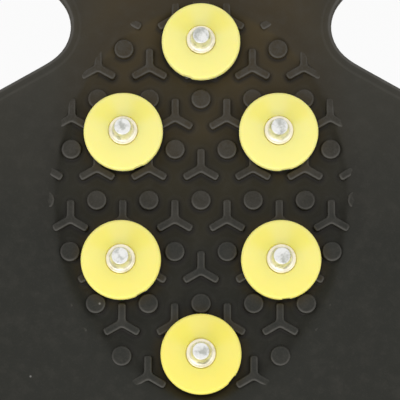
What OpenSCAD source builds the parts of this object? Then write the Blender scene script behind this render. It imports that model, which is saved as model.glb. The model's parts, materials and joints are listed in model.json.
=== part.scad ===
// Slip-on ice cleat: a moulded rubber harness with steel studs set in yellow discs.
// Millimetres. The cleat lies on its rim with the studs up, as for a look at its tread:
// +Z points out of the tread, +Y to the toe, and the origin is the middle of its footprint.

/* [Sole outline] */
// Radius of the sole's bend line round the toe
toe_radius = 50; // [47:0.5:54]
// Radius of the sole's bend line round the heel
heel_radius = 37; // [34:0.5:41]
// Distance between the centres of the toe arc and the heel arc
arc_gap = 108; // [106:0.5:116]
// Radius of the bend from sole to side wall, at mid thickness
bend_radius = 12; // [9:0.5:14]
// Thickness of the rubber sheet
sheet_t = 3; // [2.6:0.1:3.6]
// Height of the ground face above the rim's lower edge
sole_height = 34; // [31:0.5:42]

/* [Rim] */
// Height of the rim band
rim_h = 15; // [10:0.5:17]
// Radius of the bead along the rim's edge
bead_r = 2.5; // [2:0.1:3]
// Depth of the flat that the bead stands on
bead_flat = 0.5; // [0.2:0.1:0.8]
// Width of the pull tab at the heel
tab_w = 22; // [14:1:30]
// Reach of the pull tab past the heel wall
tab_reach = 12; // [8:0.5:16]
// Thickness of the pull tab
tab_t = 3; // [2:0.1:4]
// Height of the pull tab's lower face above the rim's lower edge
tab_z = 6.5; // [5.5:0.1:8]
// Radius of the pull tab's corners
tab_corner_r = 5; // [2:0.5:6]

/* [Toe openings] */
// Distance of the toe arc's centre ahead of the forefoot stud centre
toe_lead = 12; // [10.5:0.1:14]
// Half of the neck's least width
neck_half_w = 26.6; // [24:0.1:27.5]
// Radius of the opening's inner end
toe_lobe_r = 8.5; // [7:0.1:9]
// Distance of the inner end's centre ahead of the forefoot stud centre
toe_lobe_lead = 35.5; // [34:0.1:36.5]
// Slope of the opening's front edge, from the side
neck_flare = 46; // [42:1:52]
// Slope of the wing's front edge, from the side
wing_slope = 30; // [24:1:34]
// How far the toe strap widens on each side per millimetre of wall
toe_strap_lean = 0.15; // [0:0.01:0.3]
// How far the wing's front edge runs back per millimetre of wall
wing_front_lean = 0.8; // [0.3:0.01:1]

/* [Waist openings] */
// Half of the bridge's least width
bridge_half_w = 15.5; // [13:0.1:18]
// Radius of the opening's inner end
waist_lobe_r = 10; // [8.5:0.1:11]
// Distance of the bridge's middle behind the forefoot stud centre
waist_back = 60.5; // [58.5:0.1:62]
// Length of the bridge that bends
bridge_l = 14; // [10:0.5:15]
// Slope of the wing's rear edge, from the side
wing_rear_slope = 22; // [16:1:26]
// Slope of the heel wing's front edge, from the side
heel_wing_slope = 28; // [22:1:32]
// How far the wing's rear edge runs forward per millimetre of wall
wing_rear_lean = 0.35; // [0.1:0.01:0.6]
// How far the heel wing's front edge runs back per millimetre of wall
heel_front_lean = 0.25; // [0:0.01:0.5]

/* [Heel openings] */
// Angle round from the toe to the middle of the opening
heel_open_angle = 138; // [134:1:141]
// Radius of the opening's inner end
heel_lobe_r = 9; // [6:0.1:10]
// How far each edge runs away from the opening per millimetre of wall
heel_open_lean = 0.06; // [0:0.01:0.2]

/* [Tread] */
// Depth of the tread's recess below the ground face
recess_depth = 1.3; // [0.8:0.1:1.5]
// Half of the forefoot recess across
fore_recess_x = 30.8; // [29:0.1:32]
// Half of the forefoot recess along the foot
fore_recess_y = 42; // [40:0.1:43.5]
// Distance of the forefoot recess's middle behind the stud centre
fore_recess_back = 0.6; // [0:0.1:2]
// Distance from the heel's bend line to the heel recess, across
heel_margin_x = 10; // [8:0.1:11]
// Distance from the heel's bend line to the heel recess, along the foot
heel_margin_y = 9; // [8:0.1:10]
// Spacing of the lugs across
lug_pitch_x = 10.5; // [9.5:0.1:12]
// Spacing of the lug rows along the foot
lug_pitch_y = 10.5; // [9.5:0.1:12]
// Distance of the middle row of lugs ahead of the stud centre
lug_lead = 5.9; // [4:0.1:6.5]
// Length of a lug's arm from its centre
arm_l = 4.1; // [3:0.1:4.4]
// Width of a lug's arm
arm_w = 1.6; // [1:0.05:1.8]
// Diameter of a round lug
dot_d = 4.1; // [3:0.1:4.4]
// Distance of a round lug behind its three-armed neighbour
dot_back = 6.6; // [5.5:0.1:7]

/* [Stud places] */
// Front and rear forefoot studs, from the forefoot stud centre
fore_stud_y = 32; // [30:0.1:33]
// Front side studs of the forefoot, from the centre line
fore_front_x = 15.7; // [14:0.1:17]
// Rear side studs of the forefoot, from the centre line
fore_rear_x = 16; // [14:0.1:17]
// Side studs of the forefoot, along the foot from the stud centre
fore_pair_y = 13.1; // [11:0.1:15]
// Distance of the heel stud centre behind the heel arc's centre
heel_stud_back = 1; // [0:0.1:2]
// Front and rear heel studs, from the heel stud centre
heel_stud_y = 17.5; // [16:0.1:18.5]
// Side studs of the heel, from the centre line
heel_pair_x = 16; // [14:0.1:17.5]

/* [Studs and discs] */
// Diameter of a yellow disc
disc_d = 16; // [14:0.1:16.5]
// Thickness of a disc at its middle
disc_t = 2; // [1.8:0.1:2.6]
// Drop of the disc's top from its middle to its edge
disc_crown = 0.25; // [0:0.05:0.4]
// Rounding of the disc's top edge
disc_edge_r = 0.6; // [0.2:0.1:0.9]
// Width of the gate mark on a disc's edge
gate_w = 1.8; // [1:0.1:3]
// Depth of the gate mark
gate_depth = 0.2; // [0.1:0.05:0.4]
// Diameter of the stud's head on the foot side
head_d = 10; // [9:0.1:11]
// Thickness of the stud's head
head_t = 1.1; // [0.8:0.1:1.2]
// Diameter of the stud's neck in the rubber
neck_d = 5; // [4.4:0.1:5.2]
// Diameter of the flange that is moulded into the disc
flange_d = 8.4; // [7:0.1:9]
// Thickness of that flange
flange_t = 0.7; // [0.5:0.1:0.8]
// Diameter of the stud's collar above the disc
collar_d = 5.8; // [5.4:0.1:6.2]
// Height of the collar above the disc
collar_h = 0.5; // [0.3:0.1:0.8]
// Radius of the hollow fillet between collar and tip
tip_fillet_r = 0.5; // [0.3:0.05:0.7]
// Diameter at the foot of the tip
tip_base_d = 4.3; // [3.8:0.1:4.5]
// Diameter of the flat end of the tip
tip_end_d = 3.4; // [2.6:0.1:3.6]
// Height of the tip above the disc
tip_h = 3.7; // [3:0.1:4.5]
// Bevel round the end of the tip
tip_bevel = 0.2; // [0.1:0.05:0.3]

/* [Clearances] */
// Radial clearance of the stud's neck and head in the rubber
bore_clear = 0.06; // [0.03:0.01:0.1]
// Gap between a disc and the rubber it sits on, and over the stud's head
seat_gap = 0.1; // [0.05:0.01:0.2]
// Gap between a disc and the stud that it is moulded round
mould_gap = 0.03; // [0.02:0.01:0.05]
// Width of the rubber boss round a stud, past the stud's head
boss_wall = 1.5; // [1:0.1:2]

/* [Hidden] */
FORE_STUDS = 6;
HEEL_STUDS = 4;
function numbered(word, count) = [for (i = [1:count]) str(word, "_", i)];
RUBBER = [
    "forefoot_pad", "toe_strap", "left_wing", "right_wing", "toe_rim",
    "bridge", "left_waist_band", "right_waist_band",
    "heel_pad", "left_heel_wing", "right_heel_wing", "heel_strap", "heel_rim"
];

rubber = [0.2, 0.2, 0.18];
yellow = [0.97, 0.92, 0.52];
steel = [0.75, 0.75, 0.74];
$fn = 48;
// Overshoot of a cutting solid past the face that it cuts
cut = 1;

// Heights, from the floor up
inner_z = sole_height - sheet_t;
mid_z = sole_height - sheet_t / 2;
tread_z = sole_height - recess_depth;
disc_z = sole_height + seat_gap;
disc_top = disc_z + disc_t;
head_z = inner_z + seat_gap / 2;
head_top = head_z + head_t;
flange_z = disc_z + (disc_t - flange_t) / 2;
tip_z = disc_top + tip_h;

// Places along the foot: the toe bead and the tab's end lie equally far from the origin
toe_reach = toe_radius + bend_radius + bead_r;
heel_reach = heel_radius + bend_radius + sheet_t / 2 + tab_reach;
toe_y = (arc_gap + heel_reach - toe_reach) / 2;
heel_y = toe_y - arc_gap;
fore_y = toe_y - toe_lead;
waist_y = fore_y - waist_back;
heel_stud_mid = heel_y - heel_stud_back;
heel_recess_x = heel_radius - heel_margin_x;
heel_recess_y = heel_radius - heel_margin_y;

// The bend line: a toe arc and a heel arc joined by straight sides. A place on it is given
// by its girth, the length along it from the front of the toe, clockwise seen from above.
// A girth below zero, or past the back of the heel, lies on the left side.
function degrees(turn) = turn * 180 / PI;
function between(a, b, share) = a + (b - a) * share;
side_tilt = asin((toe_radius - heel_radius) / arc_gap);
toe_sweep = 90 + side_tilt;
toe_arc = toe_radius * toe_sweep * PI / 180;
side_run = arc_gap * cos(side_tilt);
heel_arc = heel_radius * (180 - toe_sweep) * PI / 180;
half_girth = toe_arc + side_run + heel_arc;

function heading(girth) =
    girth < 0 ? -heading(-girth)
    : girth > half_girth ? 360 - heading(2 * half_girth - girth)
    : girth <= toe_arc ? degrees(girth / toe_radius)
    : girth <= toe_arc + side_run ? toe_sweep
    : toe_sweep + degrees((girth - toe_arc - side_run) / heel_radius);
function outward(girth) = [sin(heading(girth)), cos(heading(girth))];
function along(girth) = [cos(heading(girth)), -sin(heading(girth))];
function flipped(point) = [-point.x, point.y];
function bend_line(girth) =
    girth < 0 ? flipped(bend_line(-girth))
    : girth > half_girth ? flipped(bend_line(2 * half_girth - girth))
    : girth <= toe_arc ? [0, toe_y] + toe_radius * outward(girth)
    : girth <= toe_arc + side_run
        ? [0, toe_y] + toe_radius * outward(girth) + (girth - toe_arc) * along(girth)
    : [0, heel_y] + heel_radius * outward(girth);
function bend_run(from, to, steps) =
    [for (i = [0:steps]) bend_line(between(from, to, i / steps))];

// The folded sheet: a point at a girth, a depth past the bend line along the sheet, and an
// offset from mid thickness
bend_l = bend_radius * PI / 2;
wall_l = mid_z - bend_radius - rim_h + bend_l;
function fold(girth, depth, offset) =
    let (
        turn = min(degrees(depth / bend_radius), 90),
        foot = bend_line(girth) + (bend_radius + offset) * sin(turn) * outward(girth)
    )
    [
        foot.x, foot.y,
        mid_z - bend_radius + (bend_radius + offset) * cos(turn) - max(depth - bend_l, 0)
    ];

// Places where a straight edge of an opening leaves the sole
function slope_dir(slope) = [cos(slope), sin(slope)];
function ring_point(centre, r, turn) = centre + r * [cos(turn), sin(turn)];
function ring_run(centre, r, from, to, steps) =
    [for (i = [0:steps]) ring_point(centre, r, between(from, to, i / steps))];
function toe_arc_girth(start, dir) =
    let (
        p = start - [0, toe_y],
        reach = -p * dir + sqrt((p * dir) ^ 2 + toe_radius ^ 2 - p * p),
        hit = p + reach * dir
    )
    atan2(hit.x, hit.y) * PI / 180 * toe_radius;
function side_girth(start, dir) =
    let (
        side = bend_line(toe_arc),
        reach = outward(toe_arc) * (side - start) / (outward(toe_arc) * dir)
    )
    toe_arc + along(toe_arc) * (start + reach * dir - side);

toe_lobe = [neck_half_w + toe_lobe_r, fore_y + toe_lobe_lead];
waist_lobe = [bridge_half_w + waist_lobe_r, waist_y];
toe_lobe_from = 90 + neck_flare;
toe_lobe_to = 270 - wing_slope;
waist_lobe_from = 90 + wing_rear_slope;
waist_lobe_to = 270 - heel_wing_slope;
bridge_turn = asin(bridge_l / 2 / waist_lobe_r);

toe_strap_g = toe_arc_girth(ring_point(toe_lobe, toe_lobe_r, toe_lobe_from), slope_dir(neck_flare));
wing_front_g = toe_arc_girth(ring_point(toe_lobe, toe_lobe_r, toe_lobe_to), slope_dir(-wing_slope));
wing_rear_g = side_girth(ring_point(waist_lobe, waist_lobe_r, waist_lobe_from), slope_dir(wing_rear_slope));
heel_front_g = side_girth(ring_point(waist_lobe, waist_lobe_r, waist_lobe_to), slope_dir(-heel_wing_slope));
heel_open_g = toe_arc + side_run + heel_radius * (heel_open_angle - toe_sweep) * PI / 180;
heel_open_half = 2 * asin(heel_lobe_r / 2 / heel_radius);
heel_open_half_g = heel_radius * heel_open_half * PI / 180;
heel_wing_g = heel_open_g - heel_open_half_g;
heel_strap_g = heel_open_g + heel_open_half_g;
heel_lobe = bend_line(heel_open_g);

// Each wall edge: its girth at the bend line, and its lean per millimetre of wall
toe_strap_edge = [toe_strap_g, toe_strap_lean];
wing_front_edge = [wing_front_g, wing_front_lean];
wing_rear_edge = [wing_rear_g, -wing_rear_lean];
heel_front_edge = [heel_front_g, heel_front_lean];
heel_wing_edge = [heel_wing_g, -heel_open_lean];
heel_strap_edge = [heel_strap_g, heel_open_lean];
function edge_girth(edge, depth) = edge[0] + edge[1] * depth;
function opposite(edge) = [-edge[0], -edge[1]];
function opposite_at_heel(edge) = [2 * half_girth - edge[0], -edge[1]];
fore_rim_g = edge_girth(wing_rear_edge, wall_l);
heel_rim_g = edge_girth(heel_front_edge, wall_l);

// Facets along the bend line for each run of wall, shared with the pads that they meet
strap_steps = 24;
wing_steps = 20;
heel_wing_steps = 14;
heel_strap_steps = 14;
bend_steps = 6;
lobe_steps = 16;
rim_steps = 40;
bead_steps = 5;

function mirrored(points) = [for (i = [len(points) - 1:-1:0]) flipped(points[i])];

// A stretch of side wall between two edges, from the bend line down to the rim band
module wall(edge_a, edge_b, steps) {
    depths = concat([for (i = [0:bend_steps]) bend_l * i / bend_steps], [wall_l]);
    rows = len(depths);
    row = steps + 1;
    skin = rows * row;
    points = [
        for (offset = [sheet_t / 2, -sheet_t / 2], depth = depths, i = [0:steps])
        let (girth = between(edge_girth(edge_a, depth), edge_girth(edge_b, depth), i / steps))
        fold(girth, depth, offset)
    ];
    sheet_faces = [
        for (j = [0:rows - 2], i = [0:steps - 1])
        let (a = j * row + i, b = a + 1, c = b + row, d = a + row)
        each [[a, d, c], [a, c, b], [skin + a, skin + c, skin + d], [skin + a, skin + b, skin + c]]
    ];
    top_and_foot = [
        for (i = [0:steps - 1])
        let (a = i, b = i + 1, c = skin - row + i, d = c + 1)
        each [[a, b, skin + b, skin + a], [d, c, skin + c, skin + d]]
    ];
    ends = [
        for (j = [0:rows - 2])
        let (a = j * row, d = a + row, b = a + steps, c = d + steps)
        each [
            [a, skin + a, skin + d], [a, skin + d, d],
            [b, c, skin + c], [b, skin + c, skin + b]
        ]
    ];
    polyhedron(points, concat(sheet_faces, top_and_foot, ends), convexity = 6);
}

// A stretch of the rim band with its bead
module rim(from, to, steps) {
    bead_z = bead_r - bead_flat;
    shoulder = acos(sheet_t / 2 / bead_r);
    foot = asin(bead_z / bead_r);
    section = concat(
        ring_run([0, bead_z], bead_r, -foot, shoulder, bead_steps),
        [[sheet_t / 2, rim_h], [-sheet_t / 2, rim_h]],
        ring_run([0, bead_z], bead_r, 180 - shoulder, 180 + foot, bead_steps)
    );
    n = len(section);
    points = [
        for (k = [0:steps])
        let (girth = between(from, to, k / steps), side = bend_line(girth), out = outward(girth))
        for (p = section) [side.x + out.x * (bend_radius + p.x), side.y + out.y * (bend_radius + p.x), p.y]
    ];
    skin = [
        for (k = [0:steps - 1], i = [0:n - 1])
        let (a = k * n + i, b = k * n + (i + 1) % n)
        each [[a, a + n, b + n], [a, b + n, b]]
    ];
    last = steps * n;
    ends = [
        for (i = [0:n / 2 - 2])
        let (a = i, b = i + 1, c = n - 2 - i, d = n - 1 - i)
        each [[a, b, c], [a, c, d], [last + a, last + c, last + b], [last + a, last + d, last + c]]
    ];
    polyhedron(points, concat(skin, ends), convexity = 6);
}

function oval(x, y, steps = 72) =
    [for (i = [0:steps - 1]) [x * cos(360 * i / steps), y * sin(360 * i / steps)]];

// A three-armed lug, one arm to the toe
module arm_lug() {
    crotch = arm_w / sqrt(3);
    polygon([
        for (k = [0:2])
        let (turn = 90 + 120 * k, arm = slope_dir(turn), side = slope_dir(turn + 90) * arm_w / 2)
        each [arm * arm_l - side, arm * arm_l + side, slope_dir(turn + 60) * crotch]
    ]);
}

// The staggered lugs that fall inside a recess, which may lie back from the stud centre
module lug_pattern(half_x, half_y, back) {
    columns = ceil(half_x / lug_pitch_x) + 1;
    rows = ceil((half_y + back) / lug_pitch_y) + 1;
    intersection() {
        translate([0, -back])
            polygon(oval(half_x, half_y));
        union() {
            for (r = [-rows:rows], c = [-columns:columns]) {
                stagger = r % 2 == 0 ? 0 : 0.5;
                spot = [(c + stagger) * lug_pitch_x, lug_lead + r * lug_pitch_y];
                reach = max(dot_d / 2 + dot_back, arm_l);
                if (norm([spot.x / (half_x + reach), (spot.y + back) / (half_y + reach)]) < 1)
                    translate(spot) {
                        arm_lug();
                        translate([0, -dot_back])
                            circle(d = dot_d);
                    }
            }
        }
    }
}

// A flat part of the sole with its recess, lugs, and bosses and bores for the studs
module pad(outline, spots, middle, half_x, half_y, back = 0) {
    boss_r = head_d / 2 + boss_wall;
    difference() {
        union() {
            difference() {
                translate([0, 0, inner_z])
                    linear_extrude(sheet_t)
                        polygon(outline);
                translate([0, middle - back, tread_z])
                    linear_extrude(recess_depth + cut)
                        polygon(oval(half_x, half_y));
            }
            translate([0, 0, tread_z])
                linear_extrude(recess_depth)
                    intersection() {
                        polygon(outline);
                        translate([0, middle])
                            lug_pattern(half_x, half_y, back);
                    }
            for (spot = spots)
                translate([spot.x, spot.y, tread_z])
                    cylinder(r = boss_r, h = recess_depth);
        }
        for (spot = spots)
            translate(spot) {
                translate([0, 0, inner_z - cut])
                    cylinder(d = neck_d + 2 * bore_clear, h = sheet_t + 2 * cut);
                translate([0, 0, inner_z - cut])
                    cylinder(d = head_d + 2 * bore_clear, h = head_top + seat_gap - inner_z + cut);
            }
    }
}

fore_spots = [
    [0, fore_y + fore_stud_y],
    [-fore_front_x, fore_y + fore_pair_y], [fore_front_x, fore_y + fore_pair_y],
    [-fore_rear_x, fore_y - fore_pair_y], [fore_rear_x, fore_y - fore_pair_y],
    [0, fore_y - fore_stud_y]
];
heel_spots = [
    [0, heel_stud_mid + heel_stud_y],
    [-heel_pair_x, heel_stud_mid], [heel_pair_x, heel_stud_mid],
    [0, heel_stud_mid - heel_stud_y]
];
// How far round each disc lies, seen by the gate mark on its edge
fore_turns = [250, 294, 280, 300, 277, 321];
heel_turns = [205, 35, 110, 330];

fore_half = concat(
    bend_run(0, toe_strap_g, strap_steps / 2),
    ring_run(toe_lobe, toe_lobe_r, toe_lobe_from, toe_lobe_to, lobe_steps),
    bend_run(wing_front_g, wing_rear_g, wing_steps),
    ring_run(waist_lobe, waist_lobe_r, waist_lobe_from, 180 - bridge_turn, lobe_steps)
);
bridge_half = ring_run(waist_lobe, waist_lobe_r, 180 - bridge_turn, 180 + bridge_turn, lobe_steps);
heel_lobe_in = 270 - heel_open_angle;
heel_lobe_swing = 90 - heel_open_half / 2;
heel_lobe_from = heel_lobe_in - heel_lobe_swing;
heel_lobe_to = heel_lobe_in + heel_lobe_swing;
heel_half = concat(
    ring_run(waist_lobe, waist_lobe_r, 180 + bridge_turn, waist_lobe_to, lobe_steps),
    bend_run(heel_front_g, heel_wing_g, heel_wing_steps),
    ring_run(heel_lobe, heel_lobe_r, heel_lobe_from, heel_lobe_to, lobe_steps),
    bend_run(heel_strap_g, half_girth, heel_strap_steps / 2)
);

module forefoot_pad() {
    color(rubber)
        pad(
            concat(fore_half, mirrored(fore_half)), fore_spots, fore_y,
            fore_recess_x, fore_recess_y, fore_recess_back
        );
}

module toe_strap() {
    color(rubber)
        wall(opposite(toe_strap_edge), toe_strap_edge, strap_steps);
}

module right_wing() {
    color(rubber)
        wall(wing_front_edge, wing_rear_edge, wing_steps);
}

module left_wing() {
    mirror([1, 0, 0])
        right_wing();
}

module toe_rim() {
    color(rubber)
        rim(-fore_rim_g, fore_rim_g, rim_steps);
}

module bridge() {
    color(rubber)
        translate([0, 0, inner_z])
            linear_extrude(sheet_t)
                polygon(concat(bridge_half, mirrored(bridge_half)));
}

module right_waist_band() {
    color(rubber)
        rim(fore_rim_g, heel_rim_g, 1);
}

module left_waist_band() {
    mirror([1, 0, 0])
        right_waist_band();
}

module heel_pad() {
    color(rubber)
        pad(concat(heel_half, mirrored(heel_half)), heel_spots, heel_stud_mid, heel_recess_x, heel_recess_y);
}

module right_heel_wing() {
    color(rubber)
        wall(heel_front_edge, heel_wing_edge, heel_wing_steps);
}

module left_heel_wing() {
    mirror([1, 0, 0])
        right_heel_wing();
}

module heel_strap() {
    color(rubber)
        wall(heel_strap_edge, opposite_at_heel(heel_strap_edge), heel_strap_steps);
}

// A flat tab with round outer corners
module tab_outline(end_y, reach) {
    corner_x = tab_w / 2 - tab_corner_r;
    translate([-tab_w / 2, end_y + tab_corner_r])
        square([tab_w, reach - tab_corner_r]);
    translate([-corner_x, end_y])
        square([2 * corner_x, tab_corner_r]);
    for (side = [-1, 1])
        translate([side * corner_x, end_y + tab_corner_r])
            circle(r = tab_corner_r);
}

// The rim round the heel, with the pull tab that is moulded onto it
module heel_rim() {
    wall_r = heel_radius + bend_radius;
    end_y = heel_y - wall_r - sheet_t / 2 - tab_reach;
    color(rubber)
        union() {
            rim(heel_rim_g, 2 * half_girth - heel_rim_g, rim_steps);
            translate([0, 0, tab_z])
                linear_extrude(tab_t)
                    difference() {
                        tab_outline(end_y, heel_y - end_y);
                        translate([0, heel_y])
                            circle(r = wall_r);
                    }
        }
}

// A steel stud: head on the foot side, neck through the rubber, flange in the disc, collar and tip
module stud(spot) {
    collar_top = disc_top + collar_h;
    fillet_r = min(tip_fillet_r, (collar_d - tip_base_d) / 2 - tip_bevel);
    fillet_mid = [tip_base_d / 2 + fillet_r, collar_top + fillet_r];
    color(steel)
        translate(spot)
            rotate_extrude()
                polygon(concat(
                    [
                        [0, head_z], [head_d / 2, head_z], [head_d / 2, head_top],
                        [neck_d / 2, head_top], [neck_d / 2, flange_z],
                        [flange_d / 2, flange_z], [flange_d / 2, flange_z + flange_t],
                        [collar_d / 2, flange_z + flange_t],
                        [collar_d / 2, collar_top - tip_bevel], [collar_d / 2 - tip_bevel, collar_top]
                    ],
                    ring_run(fillet_mid, fillet_r, 270, 180, bead_steps),
                    [
                        [tip_end_d / 2 + tip_bevel / 2, tip_z - tip_bevel],
                        [tip_end_d / 2 - tip_bevel, tip_z], [0, tip_z]
                    ]
                ));
}

// A yellow disc moulded round its stud, with the gate mark on its edge
module disc(spot, turn) {
    edge_mid = [disc_d / 2 - disc_edge_r, disc_top - disc_crown - disc_edge_r];
    color(yellow)
        translate(spot)
            rotate(turn)
                difference() {
                    rotate_extrude()
                        polygon(concat(
                            [
                                [neck_d / 2 + mould_gap, disc_z], [disc_d / 2, disc_z]
                            ],
                            ring_run(edge_mid, disc_edge_r, 0, 90, bead_steps),
                            [
                                [collar_d / 2 + mould_gap, disc_top],
                                [collar_d / 2 + mould_gap, flange_z + flange_t + mould_gap],
                                [flange_d / 2 + mould_gap, flange_z + flange_t + mould_gap],
                                [flange_d / 2 + mould_gap, flange_z - mould_gap],
                                [neck_d / 2 + mould_gap, flange_z - mould_gap]
                            ]
                        ));
                    translate([disc_d / 2 - gate_depth, -gate_w / 2, disc_z - cut])
                        cube([gate_depth + cut, gate_w, disc_t + 2 * cut]);
                }
}

forefoot_pad();
toe_strap();
left_wing();
right_wing();
toe_rim();
bridge();
left_waist_band();
right_waist_band();
heel_pad();
left_heel_wing();
right_heel_wing();
heel_strap();
heel_rim();
for (i = [1:FORE_STUDS]) {
    stud(fore_spots[i - 1]);
    disc(fore_spots[i - 1], fore_turns[i - 1]);
}
for (i = [1:HEEL_STUDS]) {
    stud(heel_spots[i - 1]);
    disc(heel_spots[i - 1], heel_turns[i - 1]);
}
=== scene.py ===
"""Looks of a slip-on ice cleat: a rubber harness with a lugged tread, yellow discs and steel studs."""

import json
import math
from functools import partial

import bmesh
import bpy
import numpy as np
from bpy.props import FloatProperty, FloatVectorProperty, PointerProperty
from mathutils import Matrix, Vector
from mathutils.geometry import delaunay_2d_cdt


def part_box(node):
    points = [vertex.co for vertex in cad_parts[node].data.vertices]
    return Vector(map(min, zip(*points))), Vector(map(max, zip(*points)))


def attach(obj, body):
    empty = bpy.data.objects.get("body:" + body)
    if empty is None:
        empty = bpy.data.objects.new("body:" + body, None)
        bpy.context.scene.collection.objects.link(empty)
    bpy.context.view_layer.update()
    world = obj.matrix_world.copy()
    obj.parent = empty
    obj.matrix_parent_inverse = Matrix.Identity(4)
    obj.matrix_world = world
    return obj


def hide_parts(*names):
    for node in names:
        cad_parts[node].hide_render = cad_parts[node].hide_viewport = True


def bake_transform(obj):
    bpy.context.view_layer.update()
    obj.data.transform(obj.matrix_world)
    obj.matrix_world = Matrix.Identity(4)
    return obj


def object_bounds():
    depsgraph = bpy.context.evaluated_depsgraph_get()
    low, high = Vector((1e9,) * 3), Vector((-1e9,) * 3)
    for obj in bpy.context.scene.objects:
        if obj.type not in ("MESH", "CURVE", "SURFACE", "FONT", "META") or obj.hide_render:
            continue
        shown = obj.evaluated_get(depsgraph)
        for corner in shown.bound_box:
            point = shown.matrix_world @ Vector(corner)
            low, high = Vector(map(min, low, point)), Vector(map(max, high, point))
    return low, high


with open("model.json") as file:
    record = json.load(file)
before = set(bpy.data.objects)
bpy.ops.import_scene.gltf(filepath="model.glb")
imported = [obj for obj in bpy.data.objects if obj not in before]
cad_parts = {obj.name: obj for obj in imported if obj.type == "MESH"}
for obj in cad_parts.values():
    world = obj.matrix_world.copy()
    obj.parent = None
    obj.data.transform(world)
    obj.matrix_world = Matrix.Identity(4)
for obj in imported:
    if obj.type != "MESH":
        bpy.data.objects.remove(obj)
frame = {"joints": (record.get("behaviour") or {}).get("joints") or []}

bl_info = {
    "name": "Ice Cleat",
    "version": (1, 0, 0),
    "blender": (4, 5, 0),
    "location": "View3D > Sidebar > Ice Cleat",
    "description": "Dresses a slip-on ice cleat: rubber harness, tread lugs, discs and studs",
    "category": "Object",
}

CAD_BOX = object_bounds()
MM = 0.001
TINY = 1e-6
RIGHT_ANGLE = math.pi / 2
FULL_TURN = 2 * math.pi
HARNESS_NODES = (
    "forefoot_pad", "toe_strap", "left_wing", "right_wing", "toe_rim", "bridge", "left_waist_band",
    "right_waist_band", "heel_pad", "left_heel_wing", "right_heel_wing", "heel_strap", "heel_rim",
)

# Places that the frame gives
SOLE_LOW, SOLE_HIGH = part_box("forefoot_pad")
RIM_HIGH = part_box("toe_rim")[1]
STUD_LOW, STUD_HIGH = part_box("forefoot_stud_1")
DISC_LOW, DISC_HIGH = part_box("forefoot_disc_1")
HALF_SHEET = (SOLE_HIGH.z - SOLE_LOW.z) / 2
MID_Z = (SOLE_HIGH.z + SOLE_LOW.z) / 2
JOINTS = {joint["child"]: joint for joint in frame["joints"]}
GRIPS = {body: Vector(joint["pos_m"]) for body, joint in JOINTS.items() if "grip" in body}
FLEX = Vector(JOINTS["heel"]["pos_m"])

# Spacing of the harness's points: round the openings, along the rim, over the sole and over the walls
OPENING_STEP, RIM_STEP, SOLE_STEP, WALL_STEP = 1.2 * MM, 1.3 * MM, 1.2 * MM, 2.2 * MM
# How far the sole's spacing goes on past the bend line
SOLE_MARGIN = 2 * MM
# Steps along an opening's lobe, and round a stud's hole, a round lug, a disc and a stud
LOBE_STEPS, HOLE_STEPS, DOT_STEPS, DISC_STEPS, STUD_STEPS = 24, 40, 32, 160, 72
# Steps round the bead, a lug's tip corner and crotch, and the pull tab's corner and root
BEAD_STEPS, TIP_STEPS, CROTCH_STEPS, TAB_STEPS, ROOT_STEPS = 7, 3, 5, 8, 12
# Points up an opening's wall edge and along its rim, and halvings to find where it leaves the sole
WALL_POINTS, RIM_POINTS, HALVINGS = 25, 40, 40
# A fill point's least gap to a border, in spacings, and the bead's upper end, in degrees
BORDER_GAP, BEAD_START = 0.7, 50
# Least radii of a lug's tip corner and crotch
LEAST_TIP, LEAST_CROTCH = 0.1 * MM, 0.05 * MM
# Shares of an arm and of a round lug that lie inside the recess, and spare rows and columns of lugs
ARM_INSIDE, DOT_INSIDE, SPARE_ROWS = 0.8, 0.35, 3
# Degrees from which an edge is shaded sharp, on rubber and on turned pieces
RUBBER_SHARP, TURNED_SHARP = 40, 35
# An opening's edge from the rubber outwards: share of the lip's width, height of the ground face in half
# thicknesses and in lips, depth of the foot face in half thicknesses, and wear with painted highlight
EDGE_ROUND = (
    (0.92, 1, 0.45, 1, 0.15), (0.82, 1, 0.9, 1, 0.2), (0.7, 1, 1, 1, 0), (0.38, 1, 1, 1, 0.1),
    (0.28, 1, 0.85, 1, 1), (0.17, 1, 0.4, 0.97, 1), (0.09, 0.92, 0, 0.85, 0.3), (0.03, 0.65, 0, 0.6, 0),
)
# A lug's foot, a low skirt that carries painted contact shadow, from the outside in: share of its width,
# height in millimetres and wear, or painted shadow below zero
LUG_SHADOW_SKIRT = (
    (1, -0.4, 0), (1, 0.01, 0), (0.7, 0.015, -0.2), (0.4, 0.02, -0.6), (0.15, 0.04, -1), (0, 0.16, -1),
)
# A lug's rounded top edge: degrees round it and wear with painted highlight
LUG_EDGE = ((0, 0.3), (30, 1), (60, 1), (90, 0.6))
# Share of the wear and painted light on an edge that faces aside, and what is added or taken off towards the
# heel or the toe, so that edges facing the heel get stronger painted highlights and shadows
ASIDE_SHARE, HEEL_LIGHTING = 0.6, 0.4
# How far round each disc lies, in degrees, by the gate mark on its edge
GATE_TURNS = (250, 294, 280, 300, 277, 321, 205, 35, 110, 330)
# The inputs of the tread's node tree, by kind
TREAD_SOCKETS = {
    "Object": ("Arm Lug", "Round Lug", "Studs", "Openings"),
    "Material": ("Finish",),
    "Int": ("Columns", "Rows"),
    "Float": (
        "Pitch Across", "Pitch Along", "Lead", "Round Lug Back", "Half Across", "Half Along",
        "Arm Reach", "Round Reach", "Arm Clear", "Round Clear", "Hidden Under Disc",
    ),
    "Vector": ("Middle", "Oval Middle"),
}
# The stage: the camera's aim off the studs' middle, then each light's size and its place off that aim
AIM_OFF = Vector((-0.2, -0.77, 0)) * MM
KEY_SIZE, KEY_OFF = (0.7, 0.06), Vector((-0.25, -0.52, 0.22))
FILL_SIZE, FILL_OFF = (0.5, 0.06), Vector((0.45, -0.35, 0.26))
# Half of the floor's width, and the nearest that the camera sees
FLOOR_REACH, CLIP_START = 3.0, 0.01


def middle_of(region):
    """The middle of a region's studs."""
    spots = [spot for body, spot in GRIPS.items() if body.startswith(region)]
    return sum(spots, Vector()) / len(spots)


FOREFOOT_MID = middle_of("forefoot")
HEEL_MID = middle_of("heel")


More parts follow.
